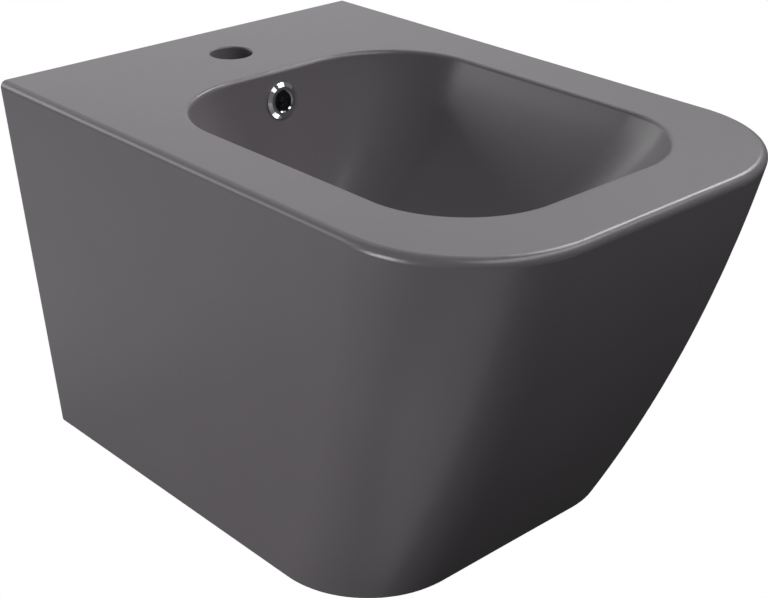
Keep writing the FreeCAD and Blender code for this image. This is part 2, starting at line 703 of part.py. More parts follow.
def make_plug():
    """The click cartridge, plunger, spring, cap and seal, drawn with the plug up."""
    cartridge = new_body("click_cartridge")
    rim = "(waste_bore - ring_gap)"
    half = f"({rim} - cartridge_wall / 2)"
    cylinder(cartridge, "cartridge_rim", "Additive", rim, "cartridge_height")
    cylinder(cartridge, "cartridge_eye", "Subtractive", f"{rim} - cartridge_wall", "cartridge_height")
    for k, angle in enumerate((0, 60, 120)):
        spoke = cartridge.newObject("PartDesign::AdditiveBox", f"spoke_{k}")
        bind(spoke, Length=f"2 * {half}", Width="spoke_width", Height="cartridge_height")
        place(spoke, x=f"spoke_width / 2 * sin({angle} deg) - {half} * cos({angle} deg)",
              y=f"-spoke_width / 2 * cos({angle} deg) - {half} * sin({angle} deg)",
              turn=FreeCAD.Rotation(FreeCAD.Vector(0, 0, 1), angle))
    cylinder(cartridge, "hub", "Additive", "hub_radius", "hub_top + hub_bottom", z="-hub_bottom")
    cylinder(cartridge, "hub_bore", "Subtractive", "plunger_radius + plunger_fit",
             f"hub_top + hub_bottom + 2 * {OVERRUN}", z=f"-hub_bottom - {OVERRUN}")
    at_drain(cartridge, SHOULDER)

    cap = turned("plug_cap", [
        ("0", "stub_length + stub_gap - cap_boss_height"),
        ("stub_radius + plunger_fit", "stub_length + stub_gap - cap_boss_height"),
        ("stub_radius + plunger_fit", "-cap_boss_height"), ("cap_boss_radius", "-cap_boss_height"),
        ("cap_boss_radius", "-seal_drop"), ("cap_boss_radius + cap_shoulder", "-seal_drop"),
        ("cap_boss_radius + cap_shoulder", "0"),
        ("cap_radius", "0"), ("cap_radius", "cap_height"), ("0", "cap_height")])
    round_edges(cap, "cap_rounding", "cap_round", lambda edge: level_circle(edge, "cap_radius", "cap_height"))
    at_drain(cap, PLUG_OPEN)

    slope = "((seat_radius - waste_bore) / seat_depth)"
    top = f"(seat_radius + {slope} * (plug_closed_gap - seal_drop) - seal_clearance)"
    seal = turned("plug_seal", [
        ("cap_boss_radius + push_gap", "-seal_drop - seal_height"),
        (f"{top} - {slope} * seal_height", "-seal_drop - seal_height"),
        (top, "-seal_drop"), ("cap_boss_radius + push_gap", "-seal_drop")])
    at_drain(seal, PLUG_OPEN)

    plunger = turned("plug_plunger", [
        ("0", "-plunger_length"), ("plunger_radius - plunger_bevel", "-plunger_length"),
        ("plunger_radius", "plunger_bevel - plunger_length"),
        ("plunger_radius", "0"), ("stub_radius", "0"), ("stub_radius", "stub_length"), ("0", "stub_length")])
    at_drain(plunger, f"{PLUG_OPEN} - cap_boss_height")

    room = f"({PLUG_OPEN} - cap_boss_height - {HUB_TOP} - 2 * spring_wire - 2 * spring_gap)"
    spring = coil_spring("plug_spring", "spring_radius", room, "spring_turns", "spring_wire")
    at_drain(spring, f"{HUB_TOP} + spring_wire + spring_gap")
    return [cartridge, plunger, spring, cap, seal]


def lipped_nut(label, height, thread):
    """A round union nut: a threaded skirt with an inward lip at its zero level."""
    outer = f"({thread} + nut_wall)"
    return turned(label, [
        ("pipe_radius + pipe_gap", "0"), (f"{outer} - nut_bevel", "0"), (outer, "nut_bevel"), (outer, height),
        (thread, height), (thread, "lip_height"), ("pipe_radius + pipe_gap", "lip_height")])


def make_trap():
    """The bottle trap from the union nut on the waste tail to the pipe into the wall."""
    union = lipped_nut("trap_union_nut", f"{UNION_TOP} - {UNION_END}", "(tail_radius + thread_gap)")
    at_drain(union, UNION_END)
    union_seal = ring("trap_union_seal", "pipe_radius - pipe_wall", "collar_radius", "union_seal_height")
    at_drain(union_seal, COLLAR_TOP)
    dip_end = f"({DIP_END} - {COLLAR_TOP})"
    dip = turned("trap_dip_tube", [
        ("pipe_radius - pipe_wall", dip_end), ("pipe_radius", dip_end), ("pipe_radius", "-collar_height"),
        ("collar_radius", "-collar_height"), ("collar_radius", "0"), ("pipe_radius - pipe_wall", "0")])
    at_drain(dip, COLLAR_TOP)

    thread = "(neck_radius + thread_gap)"
    neck_nut = lipped_nut("trap_neck_nut", "(neck_thread + lip_height)", thread)
    place(neck_nut, y="-drain_setback", z=NECK_NUT_TOP, turn=FreeCAD.Rotation(FreeCAD.Vector(1, 0, 0), 180))
    seal = ("pipe_radius + seal_grip", "neck_seal_radius", "neck_seal_height - ring_gap")
    neck_seal = ring("trap_neck_seal", *seal)
    at_drain(neck_seal, f"{NECK_TOP} - neck_seal_height")

    inside = "(skirt_radius - head_wall)"
    skirt_end = f"({HEAD_END} - skirt_length - {NECK_TOP})"
    seat = "(neck_seal_radius + ring_gap)"
    way = "(pipe_radius + pipe_gap)"
    ceiling = "(-neck_height - head_top)"
    head = turned("trap_head", [
        (inside, skirt_end), ("skirt_radius", skirt_end), ("skirt_radius", f"{HEAD_END} - {NECK_TOP}"),
        ("head_radius", f"{HEAD_END} - {NECK_TOP}"), ("head_radius", "-neck_height"),
        ("neck_radius", "-neck_height"), ("neck_radius", "0"), (seat, "0"), (seat, "-neck_seal_height"),
        (way, "-neck_seal_height"), (way, ceiling), (inside, ceiling)])
    axis = f"{OUTLET} - {NECK_TOP}"
    reach = "(head_radius + outlet_length)"
    root = f"({inside} - head_wall)"
    cylinder(head, "outlet_spigot", "Additive", "neck_radius", f"{reach} - {root}",
             y=root, z=axis, turn=ALONG_Y)
    cylinder(head, "head_inside", "Subtractive", inside, f"{ceiling} - {skirt_end}", z=skirt_end)
    cylinder(head, "outlet_bore", "Subtractive", way, f"{reach} + {OVERRUN}", z=axis, turn=ALONG_Y)
    cylinder(head, "outlet_seal_seat", "Subtractive", seat, f"neck_seal_height + {OVERRUN}",
             y=f"{reach} - neck_seal_height", z=axis, turn=ALONG_Y)
    at_drain(head, NECK_TOP)

    cup_seal = ring("trap_cup_seal", "skirt_radius + ring_gap", "head_radius", "cup_seal_height")
    at_drain(cup_seal, CUP_TOP)
    inner = "(skirt_radius + cup_gap)"
    cup = turned("trap_cup", [
        ("0", "0"), (f"{inner} + cup_wall - cup_bevel", "0"), (f"{inner} + cup_wall", "cup_bevel"),
        (f"{inner} + cup_wall", f"{CUP_TOP} - {CUP_INSIDE} + cup_floor"),
        (inner, f"{CUP_TOP} - {CUP_INSIDE} + cup_floor"),
        (inner, "cup_floor + cup_bevel"), (f"{inner} - cup_bevel", "cup_floor"), ("0", "cup_floor")])
    at_drain(cup, f"{CUP_INSIDE} - cup_floor")

    outlet_nut = lipped_nut("trap_outlet_nut", "(outlet_thread + lip_height)", thread)
    place(outlet_nut, y=f"-{OUTLET_END} + ring_gap + lip_height", z=OUTLET, turn=AGAINST_Y)
    outlet_seal = ring("trap_outlet_seal", *seal)
    place(outlet_seal, y=f"-{OUTLET_END} - neck_seal_height", z=OUTLET, turn=ALONG_Y)
    bore = "(pipe_radius - pipe_wall)"
    length = f"({OUTLET_END} + pipe_insert + pipe_past_wall)"
    stop = f"({length} - socket_depth)"
    bead = "(pipe_radius + bead_height)"
    pipe = turned("trap_outlet_pipe", [
        (bore, "0"), ("pipe_radius", "0"), ("pipe_radius", f"{stop} - bead_width"),
        (bead, f"{stop} - bead_width"), (bead, stop), ("pipe_radius", stop), ("pipe_radius", length),
        (bore, length)])
    place(pipe, y=f"-{OUTLET_END} - pipe_insert", z=OUTLET, turn=ALONG_Y)
    return [union, union_seal, dip, neck_nut, neck_seal, head, cup_seal, cup, outlet_nut, outlet_seal, pipe]


def make_fixings():
    """Bushes, washers and nuts for the two studs in the wall, each as a pair."""
    x = "-fixing_pitch / 2"
    sleeve = "fixing_hole - bush_gap"
    bush = turned("fixing_bush", [
        ("bush_bore", "0"), ("bush_flange", "0"), ("bush_flange", "bush_flange_height"),
        (sleeve, "bush_flange_height"), (sleeve, "bush_flange_height + back_wall"),
        ("bush_bore", "bush_flange_height + back_wall")])
    place(bush, x=x, y="-back_wall - bush_flange_height", turn=ALONG_Y)
    washer = ring("fixing_washer", "stud_washer_bore", "stud_washer_radius", "stud_washer_height")
    place(washer, x=x, y="-back_wall - bush_flange_height - stud_washer_height", turn=ALONG_Y)
    nut = hex_nut("fixing_nut", "stud_nut_flats", "stud_nut_height", "stud_nut_bore")
    place(nut, x=x, y="-back_wall - bush_flange_height - stud_washer_height - stud_nut_height", turn=ALONG_Y)
    return [pair("fixing_bushes", bush), pair("fixing_washers", washer), pair("fixing_nuts", nut)]


pieces = [make_ceramic_body()]
pieces += make_overflow()
pieces += make_waste()
pieces += make_plug()
pieces += make_trap()
pieces += make_fixings()
doc.recompute()

for item in doc.Objects:
    if "Invalid" in item.State or "Error" in item.State:
        raise RuntimeError(f"{item.Label} did not rebuild: {item.State}")
os.makedirs("parts", exist_ok=True)
for piece in pieces:
    if piece.Shape.isNull() or not piece.Shape.isValid():
        raise RuntimeError(f"{piece.Label} has no valid shape")
    piece.Shape.exportStep(f"parts/{piece.Label}.step")
    extent = piece.Shape.optimalBoundingBox()
    print(f"{piece.Label}: {len(piece.Shape.Solids)} solid(s), {piece.Shape.Volume / 1000:.1f} cm3, "
          f"X {extent.XMin:.1f} to {extent.XMax:.1f}, Y {extent.YMin:.1f} to {extent.YMax:.1f}, "
          f"Z {extent.ZMin:.1f} to {extent.ZMax:.1f}")
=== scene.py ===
# %% [markdown]
# # A wall-hung bidet
# The real object is one heavy piece of fired clay under a satin anthracite glaze. It hangs on two studs in a
# wall. A chrome ring dresses its overflow, and a push waste and a bottle trap hang below the bowl.
# The construction comes in as a fixed frame of separate pieces at their real size, in metres, and this
# lesson gives every one of them its finish and models the pieces that need a finer form.

# %% Load the frame
import bpy
import json
import math
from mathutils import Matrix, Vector
from mathutils.bvhtree import BVHTree

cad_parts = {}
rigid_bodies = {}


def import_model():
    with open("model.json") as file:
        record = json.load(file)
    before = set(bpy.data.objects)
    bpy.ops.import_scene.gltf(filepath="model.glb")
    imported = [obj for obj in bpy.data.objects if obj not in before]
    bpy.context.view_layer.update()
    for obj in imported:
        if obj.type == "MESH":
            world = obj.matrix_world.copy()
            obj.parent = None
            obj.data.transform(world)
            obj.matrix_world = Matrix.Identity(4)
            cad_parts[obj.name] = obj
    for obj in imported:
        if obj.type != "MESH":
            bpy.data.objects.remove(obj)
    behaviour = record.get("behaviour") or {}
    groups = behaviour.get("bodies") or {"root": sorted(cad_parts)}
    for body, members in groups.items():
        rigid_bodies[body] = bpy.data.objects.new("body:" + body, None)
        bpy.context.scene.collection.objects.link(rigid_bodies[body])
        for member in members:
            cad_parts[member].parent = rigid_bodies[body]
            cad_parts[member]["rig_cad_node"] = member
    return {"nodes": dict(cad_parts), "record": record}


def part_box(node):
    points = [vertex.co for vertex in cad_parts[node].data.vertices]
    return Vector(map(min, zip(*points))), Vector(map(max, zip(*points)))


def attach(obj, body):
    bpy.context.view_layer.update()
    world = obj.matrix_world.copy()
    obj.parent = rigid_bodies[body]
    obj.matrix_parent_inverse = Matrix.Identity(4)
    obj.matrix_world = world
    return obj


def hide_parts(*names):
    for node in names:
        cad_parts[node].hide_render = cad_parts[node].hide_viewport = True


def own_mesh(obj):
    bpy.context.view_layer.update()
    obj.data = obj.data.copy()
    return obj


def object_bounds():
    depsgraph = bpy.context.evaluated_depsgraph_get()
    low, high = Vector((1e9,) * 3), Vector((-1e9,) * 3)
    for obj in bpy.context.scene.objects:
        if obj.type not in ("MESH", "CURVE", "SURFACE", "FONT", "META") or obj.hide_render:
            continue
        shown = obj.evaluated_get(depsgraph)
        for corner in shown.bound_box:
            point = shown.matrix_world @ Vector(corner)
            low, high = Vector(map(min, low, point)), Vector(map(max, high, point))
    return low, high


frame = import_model()
nodes = frame["nodes"]
cad_low, cad_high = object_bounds()
print("pieces in the frame:", len(nodes), "size:", [round(v, 4) for v in cad_high - cad_low])

# %% [markdown]
# ## Camera
# The picture is taken from the front left, a little above the rim, with a long lens, so the verticals lean
# very little. The place and the aim were found by matching the corners of the rim and of the base.

# %% Set the camera
CAMERA_PLACE = Vector((-0.74376, -1.06635, 0.45238))
CAMERA_YAW = math.radians(-42.361)
CAMERA_TILT = math.radians(64.096)

scene = bpy.context.scene
lens = bpy.data.cameras.new("studio_camera")
lens.lens = 72.463
lens.sensor_width = 36
lens.shift_x = 0.0008
lens.shift_y = -0.0016
camera = bpy.data.objects.new("studio_camera", lens)
camera.location = CAMERA_PLACE
camera.rotation_euler = (CAMERA_TILT, 0, CAMERA_YAW)
scene.collection.objects.link(camera)
scene.camera = camera
scene.view_settings.view_transform = "Standard"
print("camera", round((CAMERA_PLACE - (cad_low + cad_high) / 2).length, 2), "m from the middle of the object")

# %% [markdown]
# ## Room
# A product studio is a white sweep with little light of its own. The camera sees plain white. Polished metal
# sees the wall of the sweep as a faint band over the horizon, between a dim ceiling and a dim floor, with the
# bright soft boxes in front of it. That contrast is what makes chrome look like chrome. Matt surfaces get
# only a faint light from the room, because the soft boxes do that work. Light Path tells the rays apart.

# %% Build the room
ROOM_LIGHT = 0.05
# Heights of the band on the sweep, as sines of the angle over the horizon, with the brightness there
SWEEP = ((-0.10, 0.025), (0.02, 0.15), (0.40, 0.15), (0.62, 0.025))


def add_node(tree, kind, **inputs):
    """A node of one kind with some of its sockets set."""
    node = tree.nodes.new("ShaderNode" + kind)
    for socket, number in inputs.items():
        node.inputs[socket.replace("_", " ")].default_value = number
    return node


def white_for_view(tree):
    """One for a ray that looks straight at the surroundings or through something clear."""
    path = add_node(tree, "LightPath")
    view = add_node(tree, "Math")
    view.operation = "MAXIMUM"
    tree.links.new(path.outputs["Is Camera Ray"], view.inputs[0])
    tree.links.new(path.outputs["Is Transmission Ray"], view.inputs[1])
    return path, view.outputs["Value"]


world = bpy.data.worlds.new("studio")
world.use_nodes = True
scene.world = world
tree = world.node_tree
room = tree.nodes["Background"]
room.inputs["Color"].default_value = (1, 1, 1, 1)
room.inputs["Strength"].default_value = ROOM_LIGHT
path, view = white_for_view(tree)
direction = add_node(tree, "TexCoord")
height = add_node(tree, "SeparateXYZ")
band = add_node(tree, "ValToRGB")
span = add_node(tree, "MapRange", From_Min=-1, From_Max=1)
tree.links.new(direction.outputs["Generated"], height.inputs["Vector"])
tree.links.new(height.outputs["Z"], span.inputs["Value"])
tree.links.new(span.outputs["Result"], band.inputs["Fac"])
stops = band.color_ramp.elements
while len(stops) < len(SWEEP):
    stops.new(0.5)
for stop, (sine, level) in zip(stops, SWEEP):
    stop.position = (sine + 1) / 2
    stop.color = (level, level, level, 1)
sweep = add_node(tree, "Background", Strength=1)
tree.links.new(band.outputs["Color"], sweep.inputs["Color"])
white = add_node(tree, "Background", Color=(1, 1, 1, 1), Strength=1)
metal_mix = add_node(tree, "MixShader")
tree.links.new(path.outputs["Is Glossy Ray"], metal_mix.inputs["Fac"])
tree.links.new(room.outputs["Background"], metal_mix.inputs[1])
tree.links.new(sweep.outputs["Background"], metal_mix.inputs[2])
view_mix = add_node(tree, "MixShader")
tree.links.new(view, view_mix.inputs["Fac"])
tree.links.new(metal_mix.outputs["Shader"], view_mix.inputs[1])
tree.links.new(white.outputs["Background"], view_mix.inputs[2])
tree.links.new(view_mix.outputs["Shader"], tree.nodes["World Output"].inputs["Surface"])
print("room with", len(stops), "heights on its sweep")

# %% [markdown]
# ## Floor
# The object hangs on a wall, so the floor lies well below it and only takes its soft shadow. It is a pale
# disc. The object itself gets next to no light back from it, so the lower edges stay dark. Seen from below
# the disc lets the view through, so that the underside can be looked at too.

# %% Lay the floor
FLOOR_HEIGHT = -0.75
FLOOR_RADIUS = 0.5
FLOOR_PAINT = (0.3, 0.3, 0.3, 1)
FLOOR_GLOW = 0.82
# What the floor gives back to the object
FLOOR_SHADE = (0.02, 0.02, 0.02, 1)

bpy.ops.object.select_all(action="DESELECT")
bpy.ops.mesh.primitive_circle_add(vertices=96, radius=FLOOR_RADIUS, fill_type="NGON",
                                  location=(0, -0.25, FLOOR_HEIGHT))
floor = bpy.context.object
floor.name = "studio_floor"
bpy.ops.object.transform_apply(location=True)
paint = bpy.data.materials.new("pale_floor")
paint.use_nodes = True
tree = paint.node_tree
tree.nodes.remove(tree.nodes["Principled BSDF"])
path, view = white_for_view(tree)
matt = add_node(tree, "BsdfDiffuse", Color=FLOOR_PAINT)
shade = add_node(tree, "BsdfDiffuse", Color=FLOOR_SHADE)
glow = add_node(tree, "Emission", Color=(1, 1, 1, 1), Strength=FLOOR_GLOW)
lit = add_node(tree, "AddShader")
tree.links.new(matt.outputs["BSDF"], lit.inputs[0])
tree.links.new(glow.outputs["Emission"], lit.inputs[1])
seen = add_node(tree, "MixShader")
tree.links.new(view, seen.inputs["Fac"])
tree.links.new(shade.outputs["BSDF"], seen.inputs[1])
tree.links.new(lit.outputs["Shader"], seen.inputs[2])
side = add_node(tree, "NewGeometry")
clear = add_node(tree, "BsdfTransparent")
one_sided = add_node(tree, "MixShader")
tree.links.new(side.outputs["Backfacing"], one_sided.inputs["Fac"])
tree.links.new(seen.outputs["Shader"], one_sided.inputs[1])
tree.links.new(clear.outputs["BSDF"], one_sided.inputs[2])
tree.links.new(one_sided.outputs["Shader"], tree.nodes["Material Output"].inputs["Surface"])
floor.data.materials.append(paint)
print("floor", round(cad_low.z - FLOOR_HEIGHT, 3), "m below the base")

# %% [markdown]
# ## Soft boxes
# Each light is a flat diffuser that looks at the middle of the object. A satin glaze shows where the lights
# stand, so their places come from the picture: a long one over the front and a small one high on the right
# draw the streaks in the bowl, those on the left and behind light the side and the rim, and a white card on
# the floor at the front left gives the rounded corner its pale patch, which ends at a clear edge.

# %% Hang the soft boxes
LIGHT_DISTANCE = 2.5
LIGHT_TARGET = Vector((0, -0.25, -0.05))
# Name, azimuth, elevation and roll in degrees, width and height in metres, power in watts
SOFT_BOXES = (
    ("right", 342.0, 48.5, 14.9, 2.00, 1.05, 3.0),
    ("over_front", 290.7, 55.5, -14.0, 3.15, 1.10, 39.5),
    ("right_back", 14.6, 43.4, -13.7, 0.70, 1.22, 20.5),
    ("front", 264.0, 41.0, 0.0, 1.40, 0.75, 5.0),
    ("left", 172.0, -7.4, 12.7, 1.05, 0.70, 29.6),
    ("back_left", 115.2, 12.7, -0.4, 2.67, 0.93, 21.2),
    ("back_low", 112.8, -23.8, 0.3, 2.49, 0.76, 1.9),
    ("back_right", 66.7, 34.8, -42.2, 2.42, 3.06, 16.0))
CARD_WIDTH, CARD_LENGTH, CARD_POWER = 0.63, 1.10, 0.88
CARD_PLACE = (-0.448, -1.004, FLOOR_HEIGHT + 0.01)


def soft_box(name, width, height, power):
    """A flat soft light that the camera itself doesn't see."""
    lamp = bpy.data.lights.new("softbox_" + name, "AREA")
    lamp.shape = "RECTANGLE"
    lamp.size = width
    lamp.size_y = height
    lamp.energy = power
    holder = bpy.data.objects.new(lamp.name, lamp)
    holder.visible_camera = False
    scene.collection.objects.link(holder)
    return holder


for name, azimuth, elevation, roll, width, height, power in SOFT_BOXES:
    holder = soft_box(name, width, height, power)
    turn, lift = math.radians(azimuth), math.radians(elevation)
    way = Vector((math.cos(turn) * math.cos(lift), math.sin(turn) * math.cos(lift), math.sin(lift)))
    holder.location = LIGHT_TARGET + way * LIGHT_DISTANCE
    holder.rotation_euler = (-way).to_track_quat("-Z", "Y").to_euler()
    holder.rotation_euler.rotate_axis("Z", math.radians(roll))
card = soft_box("card", CARD_WIDTH, CARD_LENGTH, CARD_POWER)
card.location = CARD_PLACE
card.rotation_euler = (math.pi, 0, 0)
print("soft boxes:", len(SOFT_BOXES), "power:", round(sum(box[-1] for box in SOFT_BOXES), 1), "W")

# %% [markdown]
# ## Tools for the finishes
# No surface of a real object is one even colour. Each finish below is one shader with patterns on its colour,
# its roughness and its relief, so the steps they share are written once. All patterns hang on Object
# coordinates. Those are metres on the piece, so a pattern keeps its real size and moves with the piece.

# %% Make the tools for the finishes


def new_finish(name, **inputs):
    """A material with its shader's plain sockets set, and an Object coordinate to hang patterns on."""
    finish = bpy.data.materials.new(name)
    finish.use_nodes = True
    tree = finish.node_tree
    shader = tree.nodes["Principled BSDF"]
    for socket, number in inputs.items():
        shader.inputs[socket.replace("_", " ")].default_value = number
    place = add_node(tree, "TexCoord")
    return finish, tree, shader, place.outputs["Object"]


def noise(tree, place, scale, detail=2.0, roughness=0.5):
    """A soft cloud pattern with a number of clouds per metre."""
    cloud = add_node(tree, "TexNoise", Scale=scale, Detail=detail, Roughness=roughness)
    tree.links.new(place, cloud.inputs["Vector"])
    return cloud.outputs["Fac"]


def between(tree, factor, low, high, start=0.3, stop=0.7):
    """Carry a pattern over to a range of numbers."""
    ranged = add_node(tree, "MapRange", From_Min=start, From_Max=stop, To_Min=low, To_Max=high)
    tree.links.new(factor, ranged.inputs["Value"])
    return ranged.outputs["Result"]


def blend_colours(tree, factor, first, second):
    """A colour between two others, which are colours or sockets."""
    mix = tree.nodes.new("ShaderNodeMix")
    mix.data_type = "RGBA"
    tree.links.new(factor, mix.inputs["Factor"])
    for socket, colour in (("A", first), ("B", second)):
        target = next(s for s in mix.inputs if s.name == socket and s.type == "RGBA")
        if isinstance(colour, tuple):
            target.default_value = colour + (1,)
        else:
            tree.links.new(colour, target)
    return next(s for s in mix.outputs if s.type == "RGBA")


def tint(tree, shader, factor, first, second):
    """Colour the surface between two colours by a pattern."""
    tree.links.new(blend_colours(tree, factor, first, second), shader.inputs["Base Color"])


def polish(tree, shader, factor, low, high):
    """Let the roughness of the surface follow a pattern."""
    tree.links.new(between(tree, factor, low, high), shader.inputs["Roughness"])


def bump(tree, shader, pattern, depth, strength=1.0):
    """Raise the surface by a pattern, a depth in metres at most."""
    relief = add_node(tree, "Bump", Strength=strength, Distance=depth)
    tree.links.new(pattern, relief.inputs["Height"])
    tree.links.new(relief.outputs["Normal"], shader.inputs["Normal"])


print("tools:", ", ".join(tool.__name__ for tool in (new_finish, noise, between, tint, polish, bump)))

# %% [markdown]
# ## Glaze
# The glaze is a thin layer of dark glass with a silky surface. Its colour is nearly even: firing leaves a
# faint cloudiness a hand wide and fine specks, and the surface has a very slight orange peel that breaks up
# the edges of reflections. Noise gives all three at their real size.

# %% Mix the glaze
glaze, tree, shader, place = new_finish("satin_glaze", IOR=1.5)
clouds = between(tree, noise(tree, place, 12, 3), 0, 1)
specks = between(tree, noise(tree, place, 1400, 1), 0, 1, 0.62, 0.72)
tone = blend_colours(tree, clouds, (0.142, 0.130, 0.142), (0.148, 0.136, 0.148))
tint(tree, shader, specks, tone, (0.155, 0.143, 0.155))
polish(tree, shader, noise(tree, place, 90, 4), 0.29, 0.31)
bump(tree, shader, noise(tree, place, 380, 1), 0.00001)
print("glaze with", len(tree.nodes), "nodes")

# %% [markdown]
# ## Biscuit
# Glaze is sprayed on from outside, so the hollow underneath, the back and the foot stay bare: a pale, chalky
# fired clay with pinholes, dusted with dark overspray near the lower edge, where the spray drifted in.

# %% Mix the biscuit
OVERSPRAY = (0.16, 0.153, 0.16)
# How far up from the lower edge the overspray drifted, in metres, and how thickly it lies at most
DRIFT_HEIGHT = 0.09
DRIFT_COVER = 0.7

biscuit, tree, shader, place = new_finish("bare_biscuit", Specular_IOR_Level=0.25)
grain = noise(tree, place, 700, 3)
clouds = between(tree, noise(tree, place, 16, 4), 0, 1)
clay = blend_colours(tree, clouds, (0.52, 0.49, 0.44), (0.60, 0.57, 0.52))
axes = add_node(tree, "SeparateXYZ")
tree.links.new(place, axes.inputs["Vector"])
drift = between(tree, axes.outputs["Z"], 0.80, 0.25, cad_low.z, cad_low.z + DRIFT_HEIGHT)
dust = add_node(tree, "Math")
dust.operation = "GREATER_THAN"
tree.links.new(drift, dust.inputs[0])
tree.links.new(noise(tree, place, 520, 4, 0.7), dust.inputs[1])
spray = add_node(tree, "Math")
spray.operation = "MULTIPLY"
spray.inputs[1].default_value = DRIFT_COVER
tree.links.new(dust.outputs["Value"], spray.inputs[0])
tint(tree, shader, spray.outputs["Value"], clay, OVERSPRAY)
polish(tree, shader, grain, 0.78, 0.95)
bump(tree, shader, grain, 0.00015, 0.6)
print("biscuit with", len(tree.nodes), "nodes")

# %% [markdown]
# ## Ceramic body
# The fired piece is the construction's own shape. It needs two finishes, so it is a copy of the node and not
# the node itself. The node's mesh is loose triangles. The copy is merged, and then gets the node's exact
# normals back, corner by corner, so that flats stay flat and rounds stay smooth.

# %% Copy the body
MERGE_DISTANCE = 0.000002


def only(obj):
    """Select one object alone and make it the active one."""
    bpy.ops.object.select_all(action="DESELECT")
    obj.select_set(True)
    bpy.context.view_layer.objects.active = obj


only(nodes["ceramic_body"])
bpy.ops.object.duplicate()
body = bpy.context.object
body.name = body.data.name = "glazed_body"
del body["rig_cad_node"]
kept = body.data.attributes.new("node_normal", "FLOAT_VECTOR", "CORNER")
kept.data.foreach_set("vector", [number for corner in body.data.corner_normals for number in corner.vector])
bpy.ops.object.mode_set(mode="EDIT")
bpy.ops.mesh.select_all(action="SELECT")
bpy.ops.mesh.remove_doubles(threshold=MERGE_DISTANCE)
bpy.ops.mesh.select_all(action="DESELECT")
bpy.ops.object.mode_set(mode="OBJECT")
bpy.ops.object.shade_smooth()
kept = body.data.attributes["node_normal"]
body.data.normals_split_custom_set([tuple(corner.vector) for corner in kept.data])
body.data.attributes.remove(kept)
print("body with", len(body.data.vertices), "points")

# %% [markdown]
# ## Where the glaze goes
# A face is glazed where the spray from above, from the front and from the sides reaches it along two ways or
# more. What falls in through the tap hole is too little to cover the hollow, so that stays biscuit. The flat
# back is ground after the firing, so it is bare too. The overflow channel on the centre plane can't be
# reached from outside: glaze is poured through it before the spraying. Rays from each face tell the cases.

# %% Glaze the body
SPRAY = [Vector(way).normalized() for way in (
    (0, 0, 1), (1, 0, 0), (-1, 0, 0), (0, -1, 0), (1, -1, 0), (-1, -1, 0),
    (1, 0, 1), (-1, 0, 1), (0, -1, 1), (0, 1, 1), (1, 0, 2), (-1, 0, 2), (0, 1, 2), (0, -1, 2))]
BELOW = [Vector((math.cos(turn) * math.cos(dip), math.sin(turn) * math.cos(dip), -math.sin(dip)))
         for dip in map(math.radians, (8, 25, 45, 65, 85)) for turn in map(math.radians, range(0, 360, 30))]
BEHIND = [Vector(way).normalized() for way in ((0, 1, 0), (0.4, 1, 0), (-0.4, 1, 0), (0, 1, 0.4))]
# How far the overflow channel reaches to each side of the centre plane
CHANNEL_REACH = 0.02
# How far off its face a ray starts, and how much it has to look away from the face
RAY_LIFT = 0.0002
RAY_SLOPE = 0.05
# How straight a face of the flat back looks at the wall, and how near it lies to it
BACK_FACING = 0.99
BACK_GAP = 0.001

body.data.materials.clear()
body.data.materials.append(glaze)
body.data.materials.append(biscuit)
surface = BVHTree.FromObject(body, bpy.context.evaluated_depsgraph_get())


def ways_open(face, ways):
    """How many of some ways lead from a face to the outside."""
    start = face.center + face.normal * RAY_LIFT
    return sum(way.dot(face.normal) > RAY_SLOPE and surface.ray_cast(start, way)[0] is None for way in ways)


for face in body.data.polygons:
    on_wall = face.normal.y > BACK_FACING and face.center.y > -BACK_GAP
    in_channel = abs(face.center.x) < CHANNEL_REACH and not ways_open(face, BELOW + BEHIND)
    if on_wall or not (in_channel or ways_open(face, SPRAY) > 1):
        face.material_index = 1
bare = sum(face.material_index for face in body.data.polygons)
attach(body, "bidet")
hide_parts("ceramic_body")
print("body with", len(body.data.polygons), "faces,", bare, "of them bare")

# %% [markdown]
# ## Metal finishes
# Chrome plate is a mirror with only faint haze and wipe marks, so its colour stays even and its roughness
# varies. The back nut and the plunger are turned from brass bar, and fine rings round the upright axis show
# the tool's path. The wall nuts and washers are zinc plated, with a faint yellow and blue cloudiness. The
# spring is drawn wire.

# %% Mix the metals
DRAIN = Vector((0, -0.215, 0))


def centred(tree, place, spot):
    """Object coordinates with their origin at a spot, for a pattern that runs round it."""
    shift = add_node(tree, "Mapping", Location=tuple(-spot))
    tree.links.new(place, shift.inputs["Vector"])
    return shift.outputs["Vector"]


chrome, tree, shader, place = new_finish("chrome_plate", Metallic=1)
haze = noise(tree, place, 60, 4)
tint(tree, shader, haze, (0.74, 0.745, 0.76), (0.80, 0.805, 0.82))
polish(tree, shader, haze, 0.03, 0.10)

brass, tree, shader, place = new_finish("turned_brass", Metallic=1)
tarnish = noise(tree, place, 130, 4)
tint(tree, shader, tarnish, (0.70, 0.50, 0.24), (0.80, 0.62, 0.34))
polish(tree, shader, tarnish, 0.22, 0.40)
rings = add_node(tree, "TexWave", Scale=600, Distortion=0.6, Detail=1)
rings.wave_type = "RINGS"
rings.rings_direction = "Z"
tree.links.new(centred(tree, place, DRAIN), rings.inputs["Vector"])
bump(tree, shader, rings.outputs["Fac"], 0.00004, 0.5)

zinc, tree, shader, place = new_finish("zinc_plate", Metallic=1)
clouds = between(tree, noise(tree, place, 160, 3), 0, 1)
tint(tree, shader, clouds, (0.62, 0.63, 0.66), (0.70, 0.68, 0.60))
polish(tree, shader, noise(tree, place, 900, 2), 0.28, 0.45)

wire, tree, shader, place = new_finish("drawn_wire", Metallic=1)
draw = noise(tree, place, 2500, 2)
tint(tree, shader, draw, (0.55, 0.55, 0.57), (0.66, 0.66, 0.67))
polish(tree, shader, draw, 0.18, 0.34)
print("metals:", ", ".join(m.name for m in (chrome, brass, zinc, wire)))

